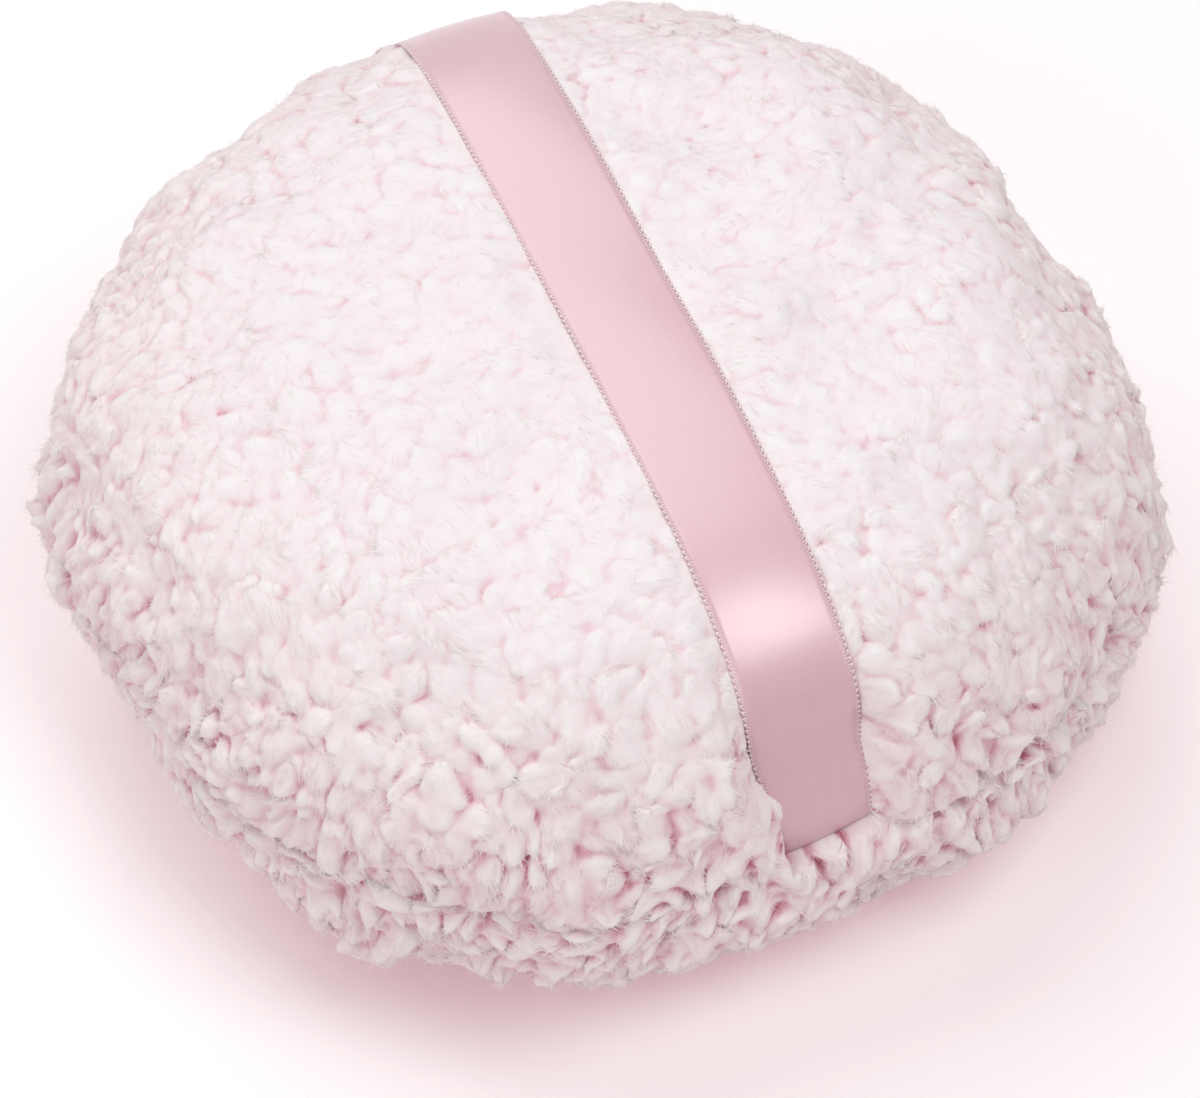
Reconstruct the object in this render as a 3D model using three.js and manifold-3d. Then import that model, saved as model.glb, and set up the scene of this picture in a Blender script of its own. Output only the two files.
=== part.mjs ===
// Powder puff: two fleece discs sewn rim to rim round a fibre wad, and a satin ribbon that
// arches over the top as a hand strap, with its two ends caught in the seam.
// Millimetres, +Z up. The origin is the middle of the flat that the puff rests on, and the
// ribbon runs along Y.
import * as THREE from "three";
import { mergeVertices } from "three/addons/utils/BufferGeometryUtils.js";
import Module from "manifold-3d";

const wasm = await Module();
wasm.setup();

// Driving sizes of the whole puff
const puffDiameter = 90;
const puffHeight = 42;
const seamHeight = 20.5;
const clearance = 0.3;

// The fleece: a pile that stands on a knitted backing
const pileDepth = 6;
const knitThickness = 0.6;
const edgeRoll = 4.5;
const edgeTuck = 3;
const knitTuck = 2.5;
const standCut = 0.5;

// How square the two cushions are: the powers of their superellipse outlines
const upperFlatness = { across: 3.4, upward: 1.9 };
const lowerFlatness = { across: 4.2, upward: 2.1 };
const ribbonFlatness = { across: 3.7, upward: 2.5 };

// The ribbon, and how it draws the fleece in
const ribbonWidth = 9.5;
const ribbonThickness = 0.4;
const ribbonSink = 1;
const ribbonTuck = 0.45;
const bedShoulder = 2;
const tailPastAllowance = 1;
const frontPullShare = 0.045;
const rearPullShare = 0.01;
const endPullSpread = THREE.MathUtils.degToRad(14);

// How unevenly the puff is filled. Low lumps lie all over it. The rim is fuller or emptier in
// places, each given by its direction and its spread in degrees and its share of rimSwell.
const lumpHeight = 0.8;
const lumpPitch = 14;
const lumpWaves = 6;
const standRadius = 22;
const rimSwell = 2;
const rimSwellShares = [
  [-34, 11, 0.8],
  [-115, 8, 0.6],
  [-136, 15, 0.75],
  [-172, 12, -0.8],
  [158, 9, 0.7],
  [4, 17, -1.4],
];

// The lockstitched seam, and the hand-sewn stretch that the puff was turned through
const seamAllowance = 5;
const stitchInset = 1.6;
const stitchPitch = 3.4;
const threadDiameter = 0.3;
const threadGap = 0.15;
const threadTail = 1.4;
const closingCentre = Math.PI;
const closingLength = 32;

// How finely the faces are cut
const sectors = 48;
const pileSteps = 40;
const innerSteps = 5;
const rollSteps = 3;
const ribbonSteps = 24;
const threadSides = 4;
const holeSides = 6;
const shoulderSteps = 2;
const overrun = 5;
const weldDistance = 1e-4;

// Sizes that follow from those above
const rearTurn = Math.PI / 2;
const frontTurn = -Math.PI / 2;
const puffRadius = puffDiameter / 2;
const threadRadius = threadDiameter / 2;
const layerGap = ribbonThickness + 2 * clearance;
const knitFoot = layerGap / 2;
const pileFoot = clearance / 2;
const pileInset = pileDepth;
const knitInset = pileInset + clearance;
const liningInset = knitInset + knitThickness;
const wadInset = liningInset + clearance;
const allowanceTop = knitFoot + knitThickness;
const foldRadius = puffRadius - knitInset - knitTuck;
const allowanceEdge = foldRadius - seamAllowance;
const stitchRadius = foldRadius - stitchInset;
const threadRunHeight = allowanceTop + clearance + threadRadius;
const lockHeight = threadRadius + threadGap / 2;
const lockReach = threadDiameter + threadGap;
const holeRadius = (lockReach + threadRadius + threadGap) / Math.cos(Math.PI / holeSides);

// One half of the puff: its crown is a height from the seam, and rows is how many rings of
// faces its fleece has from the crown to its widest level
const upper = {
  side: 1,
  crown: puffHeight - seamHeight,
  flatness: upperFlatness,
  rows: 9,
};
const lower = {
  side: -1,
  crown: seamHeight + standCut,
  flatness: lowerFlatness,
  rows: 14,
};

// The share of the round outline that is left where the ribbon's ends pull the rim inwards
function outlineShare(angle) {
  const pullAt = (end) => {
    const away = Math.atan2(Math.sin(angle - end), Math.cos(angle - end));
    return Math.exp(-((away / endPullSpread) ** 2));
  };
  return 1 - rearPullShare * pullAt(rearTurn) - frontPullShare * pullAt(frontTurn);
}

// A place given by its angle, its distance from the axis before the pull, and its height
function placeAt(angle, distance, height) {
  const drawn = distance * outlineShare(angle);
  return new THREE.Vector3(drawn * Math.cos(angle), drawn * Math.sin(angle), height);
}

// Turns a closed mesh into a solid, with its shared corners joined and its slivers dropped
function solidOf(geometry) {
  const bare = geometry.clone();
  bare.deleteAttribute("normal");
  bare.deleteAttribute("uv");
  const welded = mergeVertices(bare, weldDistance);
  const corners = Array.from(welded.index.array);
  const kept = [];
  for (let i = 0; i < corners.length; i += 3) {
    const [a, b, c] = corners.slice(i, i + 3);
    if (a !== b && b !== c && c !== a) kept.push(a, b, c);
  }
  return new wasm.Manifold(
    new wasm.Mesh({
      numProp: 3,
      vertProperties: welded.attributes.position.array,
      triVerts: new Uint32Array(kept),
    }),
  );
}

// Turns a solid back into a geometry with flat faces
function geometryOf(solid) {
  const mesh = solid.getMesh();
  const indexed = new THREE.BufferGeometry();
  indexed.setAttribute("position", new THREE.BufferAttribute(mesh.vertProperties, mesh.numProp));
  indexed.setIndex(new THREE.BufferAttribute(mesh.triVerts, 1));
  const flat = indexed.toNonIndexed();
  flat.computeVertexNormals();
  return flat;
}

// A superellipse's quarter as points, from its crown on the axis out to its widest place
function quarterArch(reach, rise, flatness, steps, lastTurn = Math.PI / 2) {
  return Array.from({ length: steps + 1 }, (_, i) => {
    const turn = (lastTurn * i) / steps;
    return new THREE.Vector2(
      i === 0 ? 0 : reach * Math.sin(turn) ** (2 / flatness.across),
      rise * Math.max(Math.cos(turn), 0) ** (2 / flatness.upward),
    );
  });
}

// Half of a layer's outline: over the crown, round the widest level and under to the foot
function layerOutline(half, inset, tuck, foot, steps) {
  const reach = puffRadius - inset;
  const crown = quarterArch(reach, half.crown - inset - edgeRoll, half.flatness, steps).map(
    (point) => new THREE.Vector2(point.x, point.y + edgeRoll),
  );
  const roll = Array.from({ length: rollSteps }, (_, i) => {
    const turn = (Math.PI / 2) * ((i + 1) / rollSteps);
    return new THREE.Vector2(
      reach - tuck + tuck * Math.cos(turn),
      edgeRoll - (edgeRoll - foot) * Math.sin(turn),
    );
  });
  return [...crown, ...roll].map((point) => new THREE.Vector2(point.x, half.side * point.y));
}

// Turns an outline about Z, draws it in at the ribbon's ends and makes it a solid
function turnedSolid(outline, unevenShare = () => new THREE.Vector2(1, 1)) {
  const points = THREE.ShapeUtils.isClockWise(outline) ? [...outline].reverse() : outline;
  const geometry = new THREE.LatheGeometry(points, sectors).rotateX(Math.PI / 2);
  const spots = geometry.attributes.position;
  for (let i = 0; i < spots.count; i += 1) {
    const spot = new THREE.Vector3().fromBufferAttribute(spots, i);
    const uneven = unevenShare(spot);
    const share = outlineShare(Math.atan2(spot.y, spot.x)) * uneven.x;
    spots.setXYZ(i, spot.x * share, spot.y * share, spot.z * uneven.y);
  }
  return solidOf(geometry);
}

// How far a lump lifts the fleece at a place. Waves cross in many directions, and they die
// away at the seam, beside the ribbon and where the puff stands.
function lumpLift(spot) {
  const sum = Array.from({ length: lumpWaves }, (_, i) => {
    const level = 1 - (2 * i + 1) / lumpWaves;
    const turn = i * Math.PI * (3 - Math.sqrt(5));
    const flat = Math.sqrt(1 - level ** 2);
    const way = new THREE.Vector3(flat * Math.cos(turn), flat * Math.sin(turn), level);
    return Math.sin((2 * Math.PI * spot.dot(way)) / lumpPitch + i ** 2);
  }).reduce((total, wave) => total + wave, 0);
  const offSeam = Math.min(Math.abs(spot.z) / edgeRoll, 1);
  const offRibbon = THREE.MathUtils.clamp((2 * Math.abs(spot.x)) / ribbonWidth - 1, 0, 1);
  const offStand = THREE.MathUtils.clamp(Math.hypot(spot.x, spot.y) / standRadius - 1, 0, 1);
  const free = offSeam * (spot.z > 0 ? offRibbon : offStand);
  return (2 / lumpWaves) * lumpHeight * sum * free;
}

// The shares by which lumps and swells move a place of the fleece's outside, across and up
function fleeceShare(spot) {
  const degrees = THREE.MathUtils.radToDeg(Math.atan2(spot.y, spot.x));
  const swell = rimSwellShares.reduce((sum, [centre, spread, share]) => {
    const away = THREE.MathUtils.euclideanModulo(degrees - centre + 180, 360) - 180;
    return sum + rimSwell * share * Math.exp(-((away / spread) ** 2));
  }, 0);
  const lump = 1 + lumpLift(spot) / spot.length();
  const rim = (Math.hypot(spot.x, spot.y) / puffRadius) ** 2;
  return new THREE.Vector2(lump * (1 + (swell / puffRadius) * rim), lump);
}

// A flat outline in Y and Z, made as thick as asked along X and centred on the ribbon
function acrossRibbon(shape, width, bevel = { bevelEnabled: false }) {
  const geometry = new THREE.ExtrudeGeometry(shape, { depth: width, ...bevel });
  geometry.translate(0, 0, -width / 2);
  const alongX = new THREE.Matrix4().makeBasis(
    new THREE.Vector3(0, 1, 0),
    new THREE.Vector3(0, 0, 1),
    new THREE.Vector3(1, 0, 0),
  );
  return geometry.applyMatrix4(alongX);
}

// A cord with a few flat sides along straight stretches, mitred where it bends
function cordGeometry(path) {
  const ways = path.slice(1).map((point, i) => point.clone().sub(path[i]).normalize());
  const sideways = new THREE.Vector3(0, 0, 1).cross(ways[0]).normalize();
  const upwards = ways[0].clone().cross(sideways);
  let ring = Array.from({ length: threadSides }, (_, k) => {
    const turn = (2 * Math.PI * (k + 1 / 2)) / threadSides;
    return path[0]
      .clone()
      .addScaledVector(sideways, threadRadius * Math.cos(turn))
      .addScaledVector(upwards, threadRadius * Math.sin(turn));
  });
  const rings = [ring];
  for (let i = 1; i < path.length; i += 1) {
    const way = ways[i - 1];
    const next = ways[Math.min(i, ways.length - 1)];
    const across = way.clone().add(next).normalize();
    ring = ring.map((corner) => {
      const travel = path[i].clone().sub(corner).dot(across) / way.dot(across);
      return corner.clone().addScaledVector(way, travel);
    });
    rings.push(ring);
  }
  const corners = [path[0], ...rings.flat(), path[path.length - 1]];
  const last = corners.length - 1;
  const faces = [];
  for (let k = 0; k < threadSides; k += 1) {
    const beside = (k + 1) % threadSides;
    faces.push(0, 1 + beside, 1 + k);
    for (let i = 0; i < rings.length - 1; i += 1) {
      const here = 1 + i * threadSides;
      const there = here + threadSides;
      faces.push(here + k, here + beside, there + beside);
      faces.push(here + k, there + beside, there + k);
    }
    faces.push(last, last - threadSides + k, last - threadSides + beside);
  }
  const geometry = new THREE.BufferGeometry().setFromPoints(corners);
  geometry.setIndex(faces);
  return geometryOf(solidOf(geometry));
}

// Where the needle went through: the lockstitched run, and the hand-sewn closing stretch
const stitchQuarter = Math.round((Math.PI * stitchRadius) / 2 / stitchPitch);
const stitchTurn = Math.PI / 2 / stitchQuarter;
const closingTurn = closingLength / 2 / stitchRadius;
const needlePlaces = Array.from({ length: 4 * stitchQuarter }, (_, i) => i * stitchTurn);
const isClosing = (angle) => Math.abs(angle - closingCentre) < closingTurn;
const closingPlaces = needlePlaces.filter(isClosing);
const lastLock = needlePlaces.filter((angle) => !isClosing(angle) && angle < closingCentre);
const firstLock = needlePlaces.filter((angle) => !isClosing(angle) && angle > closingCentre);
const lockPlaces = [...firstLock.map((angle) => angle - 2 * Math.PI), ...lastLock];

// A needle's hole as a six-sided pin that goes through a flat layer
function holePin(angle) {
  const length = layerGap + 2 * knitThickness + 2 * clearance;
  const pin = new THREE.CylinderGeometry(holeRadius, holeRadius, length, holeSides);
  pin.rotateX(Math.PI / 2).rotateZ(angle);
  const spot = placeAt(angle, stitchRadius, 0);
  return solidOf(pin.translate(spot.x, spot.y, spot.z));
}
const holePins = wasm.Manifold.union(needlePlaces.map(holePin));

// The bed that the ribbon presses into the fleece, as the space to be cleared over it
const bedReach = (turn) => (puffRadius - edgeTuck) * outlineShare(turn) - ribbonTuck;
const bedRise = upper.crown - ribbonSink;
function ribbonArch(lift, foot) {
  const rise = bedRise + lift;
  const footTurn = Math.acos((foot / rise) ** (ribbonFlatness.upward / 2));
  const half = (turn) =>
    quarterArch(bedReach(turn) + lift, rise, ribbonFlatness, ribbonSteps / 2, footTurn);
  const front = half(frontTurn).slice(1).map((point) => new THREE.Vector2(-point.x, point.y));
  return [...front.reverse(), ...half(rearTurn)];
}
function bedSpace() {
  const outside = puffRadius + overrun;
  const shape = new THREE.Shape([
    new THREE.Vector2(outside, 0),
    new THREE.Vector2(outside, upper.crown + overrun),
    new THREE.Vector2(-outside, upper.crown + overrun),
    new THREE.Vector2(-outside, 0),
    ...ribbonArch(0, 0),
  ]);
  return solidOf(
    acrossRibbon(shape, ribbonWidth + 2 * clearance, {
      bevelEnabled: true,
      bevelThickness: bedShoulder,
      bevelSize: bedShoulder,
      bevelOffset: -bedShoulder,
      bevelSegments: shoulderSteps,
    }),
  );
}

// The slits in the two piles that the ribbon's ends lie in, as one space through the puff
function tailSpace() {
  const slit = new THREE.BoxGeometry(ribbonWidth + 2 * clearance, puffDiameter, layerGap);
  return solidOf(slit);
}

// The flat that the puff stands on, as the space below it
function floorSpace() {
  const block = new THREE.BoxGeometry(puffDiameter, puffDiameter, overrun);
  return solidOf(block.translate(0, 0, -seamHeight - overrun / 2));
}

// The fleece's pile on one half, a bowl as thick as the pile stands
function pileSolid(half) {
  const closed = (outline, foot) => [
    ...outline,
    new THREE.Vector2(outline[outline.length - 1].x, half.side * foot),
    new THREE.Vector2(0, half.side * foot),
  ];
  const fine = layerOutline(half, 0, edgeTuck, pileFoot, pileSteps);
  const arch = new THREE.Path(fine.slice(0, pileSteps + 1)).getSpacedPoints(half.rows);
  const outer = [...arch, ...fine.slice(pileSteps + 1)];
  const inner = layerOutline(half, pileInset, knitTuck, pileFoot, innerSteps);
  return turnedSolid(closed(outer, pileFoot), fleeceShare)
    .subtract(turnedSolid(closed(inner, -overrun)))
    .subtract(tailSpace());
}

// The knitted backing of one half, with its seam allowance turned inwards and pierced
function knitSolid(half) {
  const outer = layerOutline(half, knitInset, knitTuck, knitFoot, innerSteps);
  const inner = layerOutline(half, liningInset, knitTuck, allowanceTop, innerSteps);
  const allowance = [
    new THREE.Vector2(allowanceEdge, half.side * knitFoot),
    new THREE.Vector2(allowanceEdge, half.side * allowanceTop),
  ];
  return turnedSolid([...outer, ...allowance, ...inner.reverse()]).subtract(holePins);
}

// The fibre wad, with a groove round its middle for the seam allowance and the threads
function wadSolid() {
  const grooveHeight = threadRunHeight + threadRadius + clearance;
  const grooveRadius = allowanceEdge - tailPastAllowance - clearance;
  const top = layerOutline(upper, wadInset, knitTuck, grooveHeight, innerSteps);
  const bottom = layerOutline(lower, wadInset, knitTuck, grooveHeight, innerSteps);
  const groove = [
    new THREE.Vector2(grooveRadius, grooveHeight),
    new THREE.Vector2(grooveRadius, -grooveHeight),
  ];
  return turnedSolid([...top, ...groove, ...bottom.reverse()]);
}

// The ribbon's free span, from just above the seam on one side to the other
function strapGeometry() {
  const foot = ribbonThickness / 2 + clearance;
  const under = ribbonArch(clearance, foot);
  const over = ribbonArch(clearance + ribbonThickness, foot);
  return acrossRibbon(new THREE.Shape([...under, ...over.reverse()]), ribbonWidth);
}

// One of the ribbon's ends, which lies in the seam with the stitches through it
function tailSolid(turn) {
  const outerEnd = bedReach(turn) + clearance + ribbonThickness;
  const innerEnd = (allowanceEdge - tailPastAllowance) * outlineShare(turn);
  const strip = new THREE.BoxGeometry(ribbonWidth, outerEnd - innerEnd, ribbonThickness);
  strip.translate(0, (Math.sin(turn) * (outerEnd + innerEnd)) / 2, 0);
  return solidOf(strip).subtract(holePins);
}

// Where a thread passes beside a stitch: so far along the seam, outwards and upwards
function besideStitch(angle, along, outward, height) {
  const spot = placeAt(angle, stitchRadius, height);
  spot.x += outward * Math.cos(angle) - along * Math.sin(angle);
  spot.y += outward * Math.sin(angle) + along * Math.cos(angle);
  return spot;
}

// A thread's path with the short tail that is left lying at each of its ends
function withTails(places, height, lastHeight, path) {
  const first = besideStitch(places[0], -threadTail, 0, height);
  const last = besideStitch(places[places.length - 1], threadTail, 0, lastHeight);
  return [first, ...path, last];
}

// The needle thread lies on the upper allowance and dips round the bobbin thread
function needleThreadPath() {
  const path = lockPlaces.flatMap((angle) => [
    besideStitch(angle, -lockReach, 0, threadRunHeight),
    besideStitch(angle, 0, lockReach, threadRunHeight),
    besideStitch(angle, 0, lockReach, -lockHeight),
    besideStitch(angle, 0, -lockReach, -lockHeight),
    besideStitch(angle, 0, -lockReach, threadRunHeight),
    besideStitch(angle, lockReach, 0, threadRunHeight),
  ]);
  return withTails(lockPlaces, threadRunHeight, threadRunHeight, path);
}

// The bobbin thread lies under the lower allowance and rises through each needle loop
function bobbinThreadPath() {
  const path = lockPlaces.flatMap((angle) => [
    besideStitch(angle, -lockReach, 0, -threadRunHeight),
    besideStitch(angle, -lockReach, 0, lockHeight),
    besideStitch(angle, lockReach, 0, lockHeight),
    besideStitch(angle, lockReach, 0, -threadRunHeight),
  ]);
  return withTails(lockPlaces, -threadRunHeight, -threadRunHeight, path);
}

// The closing thread runs in and out through both allowances
function closingThreadPath() {
  const heightBefore = (i) => (i % 2 === 0 ? threadRunHeight : -threadRunHeight);
  const path = closingPlaces.flatMap((angle, i) => [
    besideStitch(angle, 0, 0, heightBefore(i)),
    besideStitch(angle, 0, 0, heightBefore(i + 1)),
  ]);
  return withTails(closingPlaces, heightBefore(0), heightBefore(closingPlaces.length), path);
}

const fleece = new THREE.MeshStandardMaterial({ color: 0xf6eeee, roughness: 0.95, metalness: 0 });
const knit = new THREE.MeshStandardMaterial({ color: 0xf0dcdf, roughness: 0.9, metalness: 0 });
const wadding = new THREE.MeshStandardMaterial({ color: 0xfafafa, roughness: 1, metalness: 0 });
const satin = new THREE.MeshStandardMaterial({ color: 0xe5c8ce, roughness: 0.35, metalness: 0 });
const cotton = new THREE.MeshStandardMaterial({ color: 0xe9cfd4, roughness: 0.7, metalness: 0 });

function named(name, geometry, material) {
  const mesh = new THREE.Mesh(geometry, material);
  mesh.name = name;
  return mesh;
}

const upperDisc = new THREE.Group();
upperDisc.add(
  named("upper_pile", geometryOf(pileSolid(upper).subtract(bedSpace())), fleece),
  named("upper_knit_backing", geometryOf(knitSolid(upper)), knit),
);

const lowerDisc = new THREE.Group();
lowerDisc.add(
  named("lower_pile", geometryOf(pileSolid(lower).subtract(floorSpace())), fleece),
  named("lower_knit_backing", geometryOf(knitSolid(lower)), knit),
);

const strap = new THREE.Group();
strap.add(
  named("ribbon_strap", strapGeometry(), satin),
  named("ribbon_tail_front", geometryOf(tailSolid(frontTurn)), satin),
  named("ribbon_tail_rear", geometryOf(tailSolid(rearTurn)), satin),
);

const seam = new THREE.Group();
seam.add(
  named("seam_needle_thread", cordGeometry(needleThreadPath()), cotton),
  named("seam_bobbin_thread", cordGeometry(bobbinThreadPath()), cotton),
  named("closing_thread", cordGeometry(closingThreadPath()), cotton),
);

// Everything above is drawn from the seam's mid-plane, so the puff is raised to stand
const puff = new THREE.Group();
puff.add(upperDisc, lowerDisc, named("fibre_wad", geometryOf(wadSolid()), wadding), strap, seam);
puff.position.z = seamHeight;

export default puff;
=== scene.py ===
# %% [markdown]
# # A plush powder puff
#
# Two round cushions of curly fleece are sewn rim to rim round a wad of fibre, and a satin
# ribbon lies over the top, with its ends caught in the seam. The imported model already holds
# every piece at its true size and place. This lesson dresses it: fleece for the two piles, a
# woven ribbon for the strap, and finishes for the pieces that stay inside.

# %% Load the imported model
import math

import bmesh
import bpy
import numpy as np
from mathutils import Matrix, Vector, noise
from mathutils.bvhtree import BVHTree
from mathutils.kdtree import KDTree


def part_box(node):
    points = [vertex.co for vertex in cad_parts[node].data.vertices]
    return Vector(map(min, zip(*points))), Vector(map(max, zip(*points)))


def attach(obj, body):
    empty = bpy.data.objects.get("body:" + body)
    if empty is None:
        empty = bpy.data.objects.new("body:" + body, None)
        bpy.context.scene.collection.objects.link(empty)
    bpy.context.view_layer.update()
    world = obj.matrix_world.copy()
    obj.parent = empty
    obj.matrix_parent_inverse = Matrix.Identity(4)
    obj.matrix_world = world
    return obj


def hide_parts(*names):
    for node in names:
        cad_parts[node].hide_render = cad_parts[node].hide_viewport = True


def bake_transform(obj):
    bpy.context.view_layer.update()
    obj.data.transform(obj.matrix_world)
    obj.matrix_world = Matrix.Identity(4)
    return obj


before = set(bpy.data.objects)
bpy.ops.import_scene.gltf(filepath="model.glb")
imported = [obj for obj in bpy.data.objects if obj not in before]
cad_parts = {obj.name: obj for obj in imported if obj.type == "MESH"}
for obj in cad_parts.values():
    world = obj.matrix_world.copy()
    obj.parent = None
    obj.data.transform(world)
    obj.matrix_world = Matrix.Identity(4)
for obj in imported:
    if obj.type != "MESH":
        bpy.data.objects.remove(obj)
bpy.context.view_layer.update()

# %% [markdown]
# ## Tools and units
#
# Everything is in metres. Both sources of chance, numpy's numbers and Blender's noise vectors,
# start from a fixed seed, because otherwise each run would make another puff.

MM = 0.001
rng = np.random.default_rng(7)
noise.seed_set(7)
print("nodes to dress:", ", ".join(sorted(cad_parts)))

# %% [markdown]
# ## Sizes from the frame
#
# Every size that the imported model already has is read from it, so that the dress follows when
# the part changes. The knitted backing is even, and the fleece stands so much outside it. The
# ribbon's box gives its width, how far it reaches and how high it arches. The sewn end of the
# ribbon lies in the seam, so its middle is the seam's height.

# %% Sizes
_, knit_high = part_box("upper_knit_backing")
strap_low, strap_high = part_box("ribbon_strap")
front_low, front_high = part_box("ribbon_tail_front")
rear_low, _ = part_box("ribbon_tail_rear")
knit_depth = 6.3 * MM
puff_radius = knit_high[0] + knit_depth
seam_height = (front_low[2] + front_high[2]) / 2
upper_crown = knit_high[2] + knit_depth - seam_height
lower_crown = seam_height
ribbon_width = strap_high[0] - strap_low[0]
ribbon_thick = front_high[2] - front_low[2]
ribbon_crown = strap_high[2]
front_reach = -strap_low[1]
rear_reach = strap_high[1]
edge_roll = 4.5 * MM
edge_tuck = 3 * MM
upper_powers = (3.4, 1.9)
lower_powers = (4.2, 2.1)
ribbon_powers = (3.7, 2.5)
print(f"radius {puff_radius:.4f}, seam {seam_height:.4f}, ribbon {ribbon_width:.4f} wide")

# %% [markdown]
# ## Shader maths in plain Python
#
# A finish is a net of nodes. Writing it as Python sums keeps it readable: a Value wraps one
# socket, and adding or multiplying Values adds the Math nodes. Colours are mixed with Mix
# nodes, because a Math node would turn them grey. Every other node comes from one method
# that takes its type, its settings and what its sockets hold. The room's light is a net of
# nodes too, so the same class builds it.

# %% Value and Finish
class Value:
    """One socket, with the sums that can be made from it."""

    def __init__(self, finish, socket):
        self.finish = finish
        self.socket = socket

    def __add__(self, other):
        return self.finish.math("ADD", self, other)

    def __sub__(self, other):
        return self.finish.math("SUBTRACT", self, other)

    def __rsub__(self, other):
        return self.finish.math("SUBTRACT", other, self)

    def __mul__(self, other):
        return self.finish.math("MULTIPLY", self, other)

    __radd__ = __add__
    __rmul__ = __mul__


class Finish:
    """A material or a world, built node by node."""

    def __init__(self, name, shelf=bpy.data.materials):
        self.made = shelf.new(name)
        self.made.use_nodes = True
        self.nodes = self.made.node_tree.nodes
        self.nodes.clear()

    def node(self, kind, settings=None, sockets=None):
        made = self.nodes.new(kind)
        for key, setting in (settings or {}).items():
            if key == "stops":
                self.set_stops(made.color_ramp, setting)
            else:
                setattr(made, key, setting)
        for key, held in (sockets or {}).items():
            if isinstance(held, Value):
                self.made.node_tree.links.new(held.socket, made.inputs[key])
            else:
                made.inputs[key].default_value = held
        return made

    def set_stops(self, ramp, stops):
        while len(ramp.elements) < len(stops):
            ramp.elements.new(1.0)
        for element, (place, colour) in zip(ramp.elements, stops):
            element.position = place
            element.color = colour

    def value(self, node, name=0):
        return Value(self, node.outputs[name])

    def math(self, operation, *held):
        sockets = dict(enumerate(held))
        return self.value(self.node("ShaderNodeMath", {"operation": operation}, sockets))

    def mix(self, factor, first, second):
        sockets = {0: factor, 6: first, 7: second}
        return self.value(self.node("ShaderNodeMix", {"data_type": "RGBA"}, sockets), 2)

    def ramp(self, factor, stops):
        return self.value(self.node("ShaderNodeValToRGB", {"stops": stops}, {"Fac": factor}))

    def step(self, held, low, high):
        sockets = {"Value": held, "From Min": low, "From Max": high}
        settings = {"interpolation_type": "SMOOTHSTEP"}
        return self.value(self.node("ShaderNodeMapRange", settings, sockets))

    def place(self):
        return self.value(self.node("ShaderNodeTexCoord"), "Object")

    def chart(self, name):
        return self.value(self.node("ShaderNodeUVMap", {"uv_map": name}))

    def stretch(self, vector, times):
        sockets = {0: vector, 1: times}
        return self.value(self.node("ShaderNodeVectorMath", {"operation": "MULTIPLY"}, sockets))

    def split(self, vector):
        made = self.node("ShaderNodeSeparateXYZ", {}, {"Vector": vector})
        return [self.value(made, axis) for axis in "XYZ"]

    def noise(self, place, scale, detail=3, roughness=0.5):
        sockets = {"Vector": place, "Scale": scale, "Detail": detail, "Roughness": roughness}
        return self.value(self.node("ShaderNodeTexNoise", {}, sockets))

    def bump(self, height, strength, distance):
        sockets = {"Height": height, "Strength": strength, "Distance": distance}
        return self.value(self.node("ShaderNodeBump", {}, sockets))

    def waves(self, direction, scale, distortion, detail):
        settings = {"bands_direction": direction, "wave_profile": "SIN"}
        sockets = {"Vector": self.place(), "Scale": scale}
        sockets.update(Distortion=distortion, Detail=detail)
        return self.value(self.node("ShaderNodeTexWave", settings, sockets), "Fac")

    def seen(self):
        """1 for what the camera sees, also in gloss and through glass, and 0 for other light."""
        path = self.node("ShaderNodeLightPath")
        rays = [self.value(path, f"Is {way} Ray") for way in ("Camera", "Glossy", "Transmission")]
        return self.math("MINIMUM", rays[0] + rays[1] + rays[2], 1.0)

    def shader(self, kind, **sockets):
        names = {key.replace("_", " "): held for key, held in sockets.items()}
        return self.value(self.node(kind, {}, names))

    def mix_shaders(self, factor, first, second):
        return self.value(self.node("ShaderNodeMixShader", {}, {0: factor, 1: first, 2: second}))

    def surface(self, **sockets):
        shader = self.shader("ShaderNodeBsdfPrincipled", **sockets)
        self.node("ShaderNodeOutputMaterial", {}, {"Surface": shader})
        return self.made


def srgb(red, green, blue):
    """A colour as it is seen, 0 to 255, as the numbers that Blender works in."""

    def straight(level):
        level /= 255
        return level / 12.92 if level <= 0.04045 else ((level + 0.055) / 1.055) ** 2.4

    return (straight(red), straight(green), straight(blue), 1.0)


# %% [markdown]
# ## The camera
#
# The photograph looks down on the puff from about 50 degrees above the table with a long
# lens. The camera stands a little to the left of the ribbon's line, so the ribbon runs from
# the far left to the near right. Its place is worked out from the two angles, the distance
# and the point that it looks at, and its lens from the picture's width in focal lengths.

# %% Camera
picture_width = 1200
camera_azimuth = math.radians(-22.0)
camera_elevation = math.radians(51.5)
camera_distance = 0.644
focal_pixels = 7860
aim_across = -0.2 * MM
aim_up = -2.65 * MM
aim_height = 15 * MM

sight_right = Vector((math.cos(camera_azimuth), math.sin(camera_azimuth), 0))
sight_back = Vector((math.sin(camera_azimuth), -math.cos(camera_azimuth), 0))
sight_back *= math.cos(camera_elevation)
sight_back.z = math.sin(camera_elevation)
sight_up = sight_back.cross(sight_right)
aim = Vector((0, 0, aim_height)) + sight_right * aim_across + sight_up * aim_up

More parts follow.
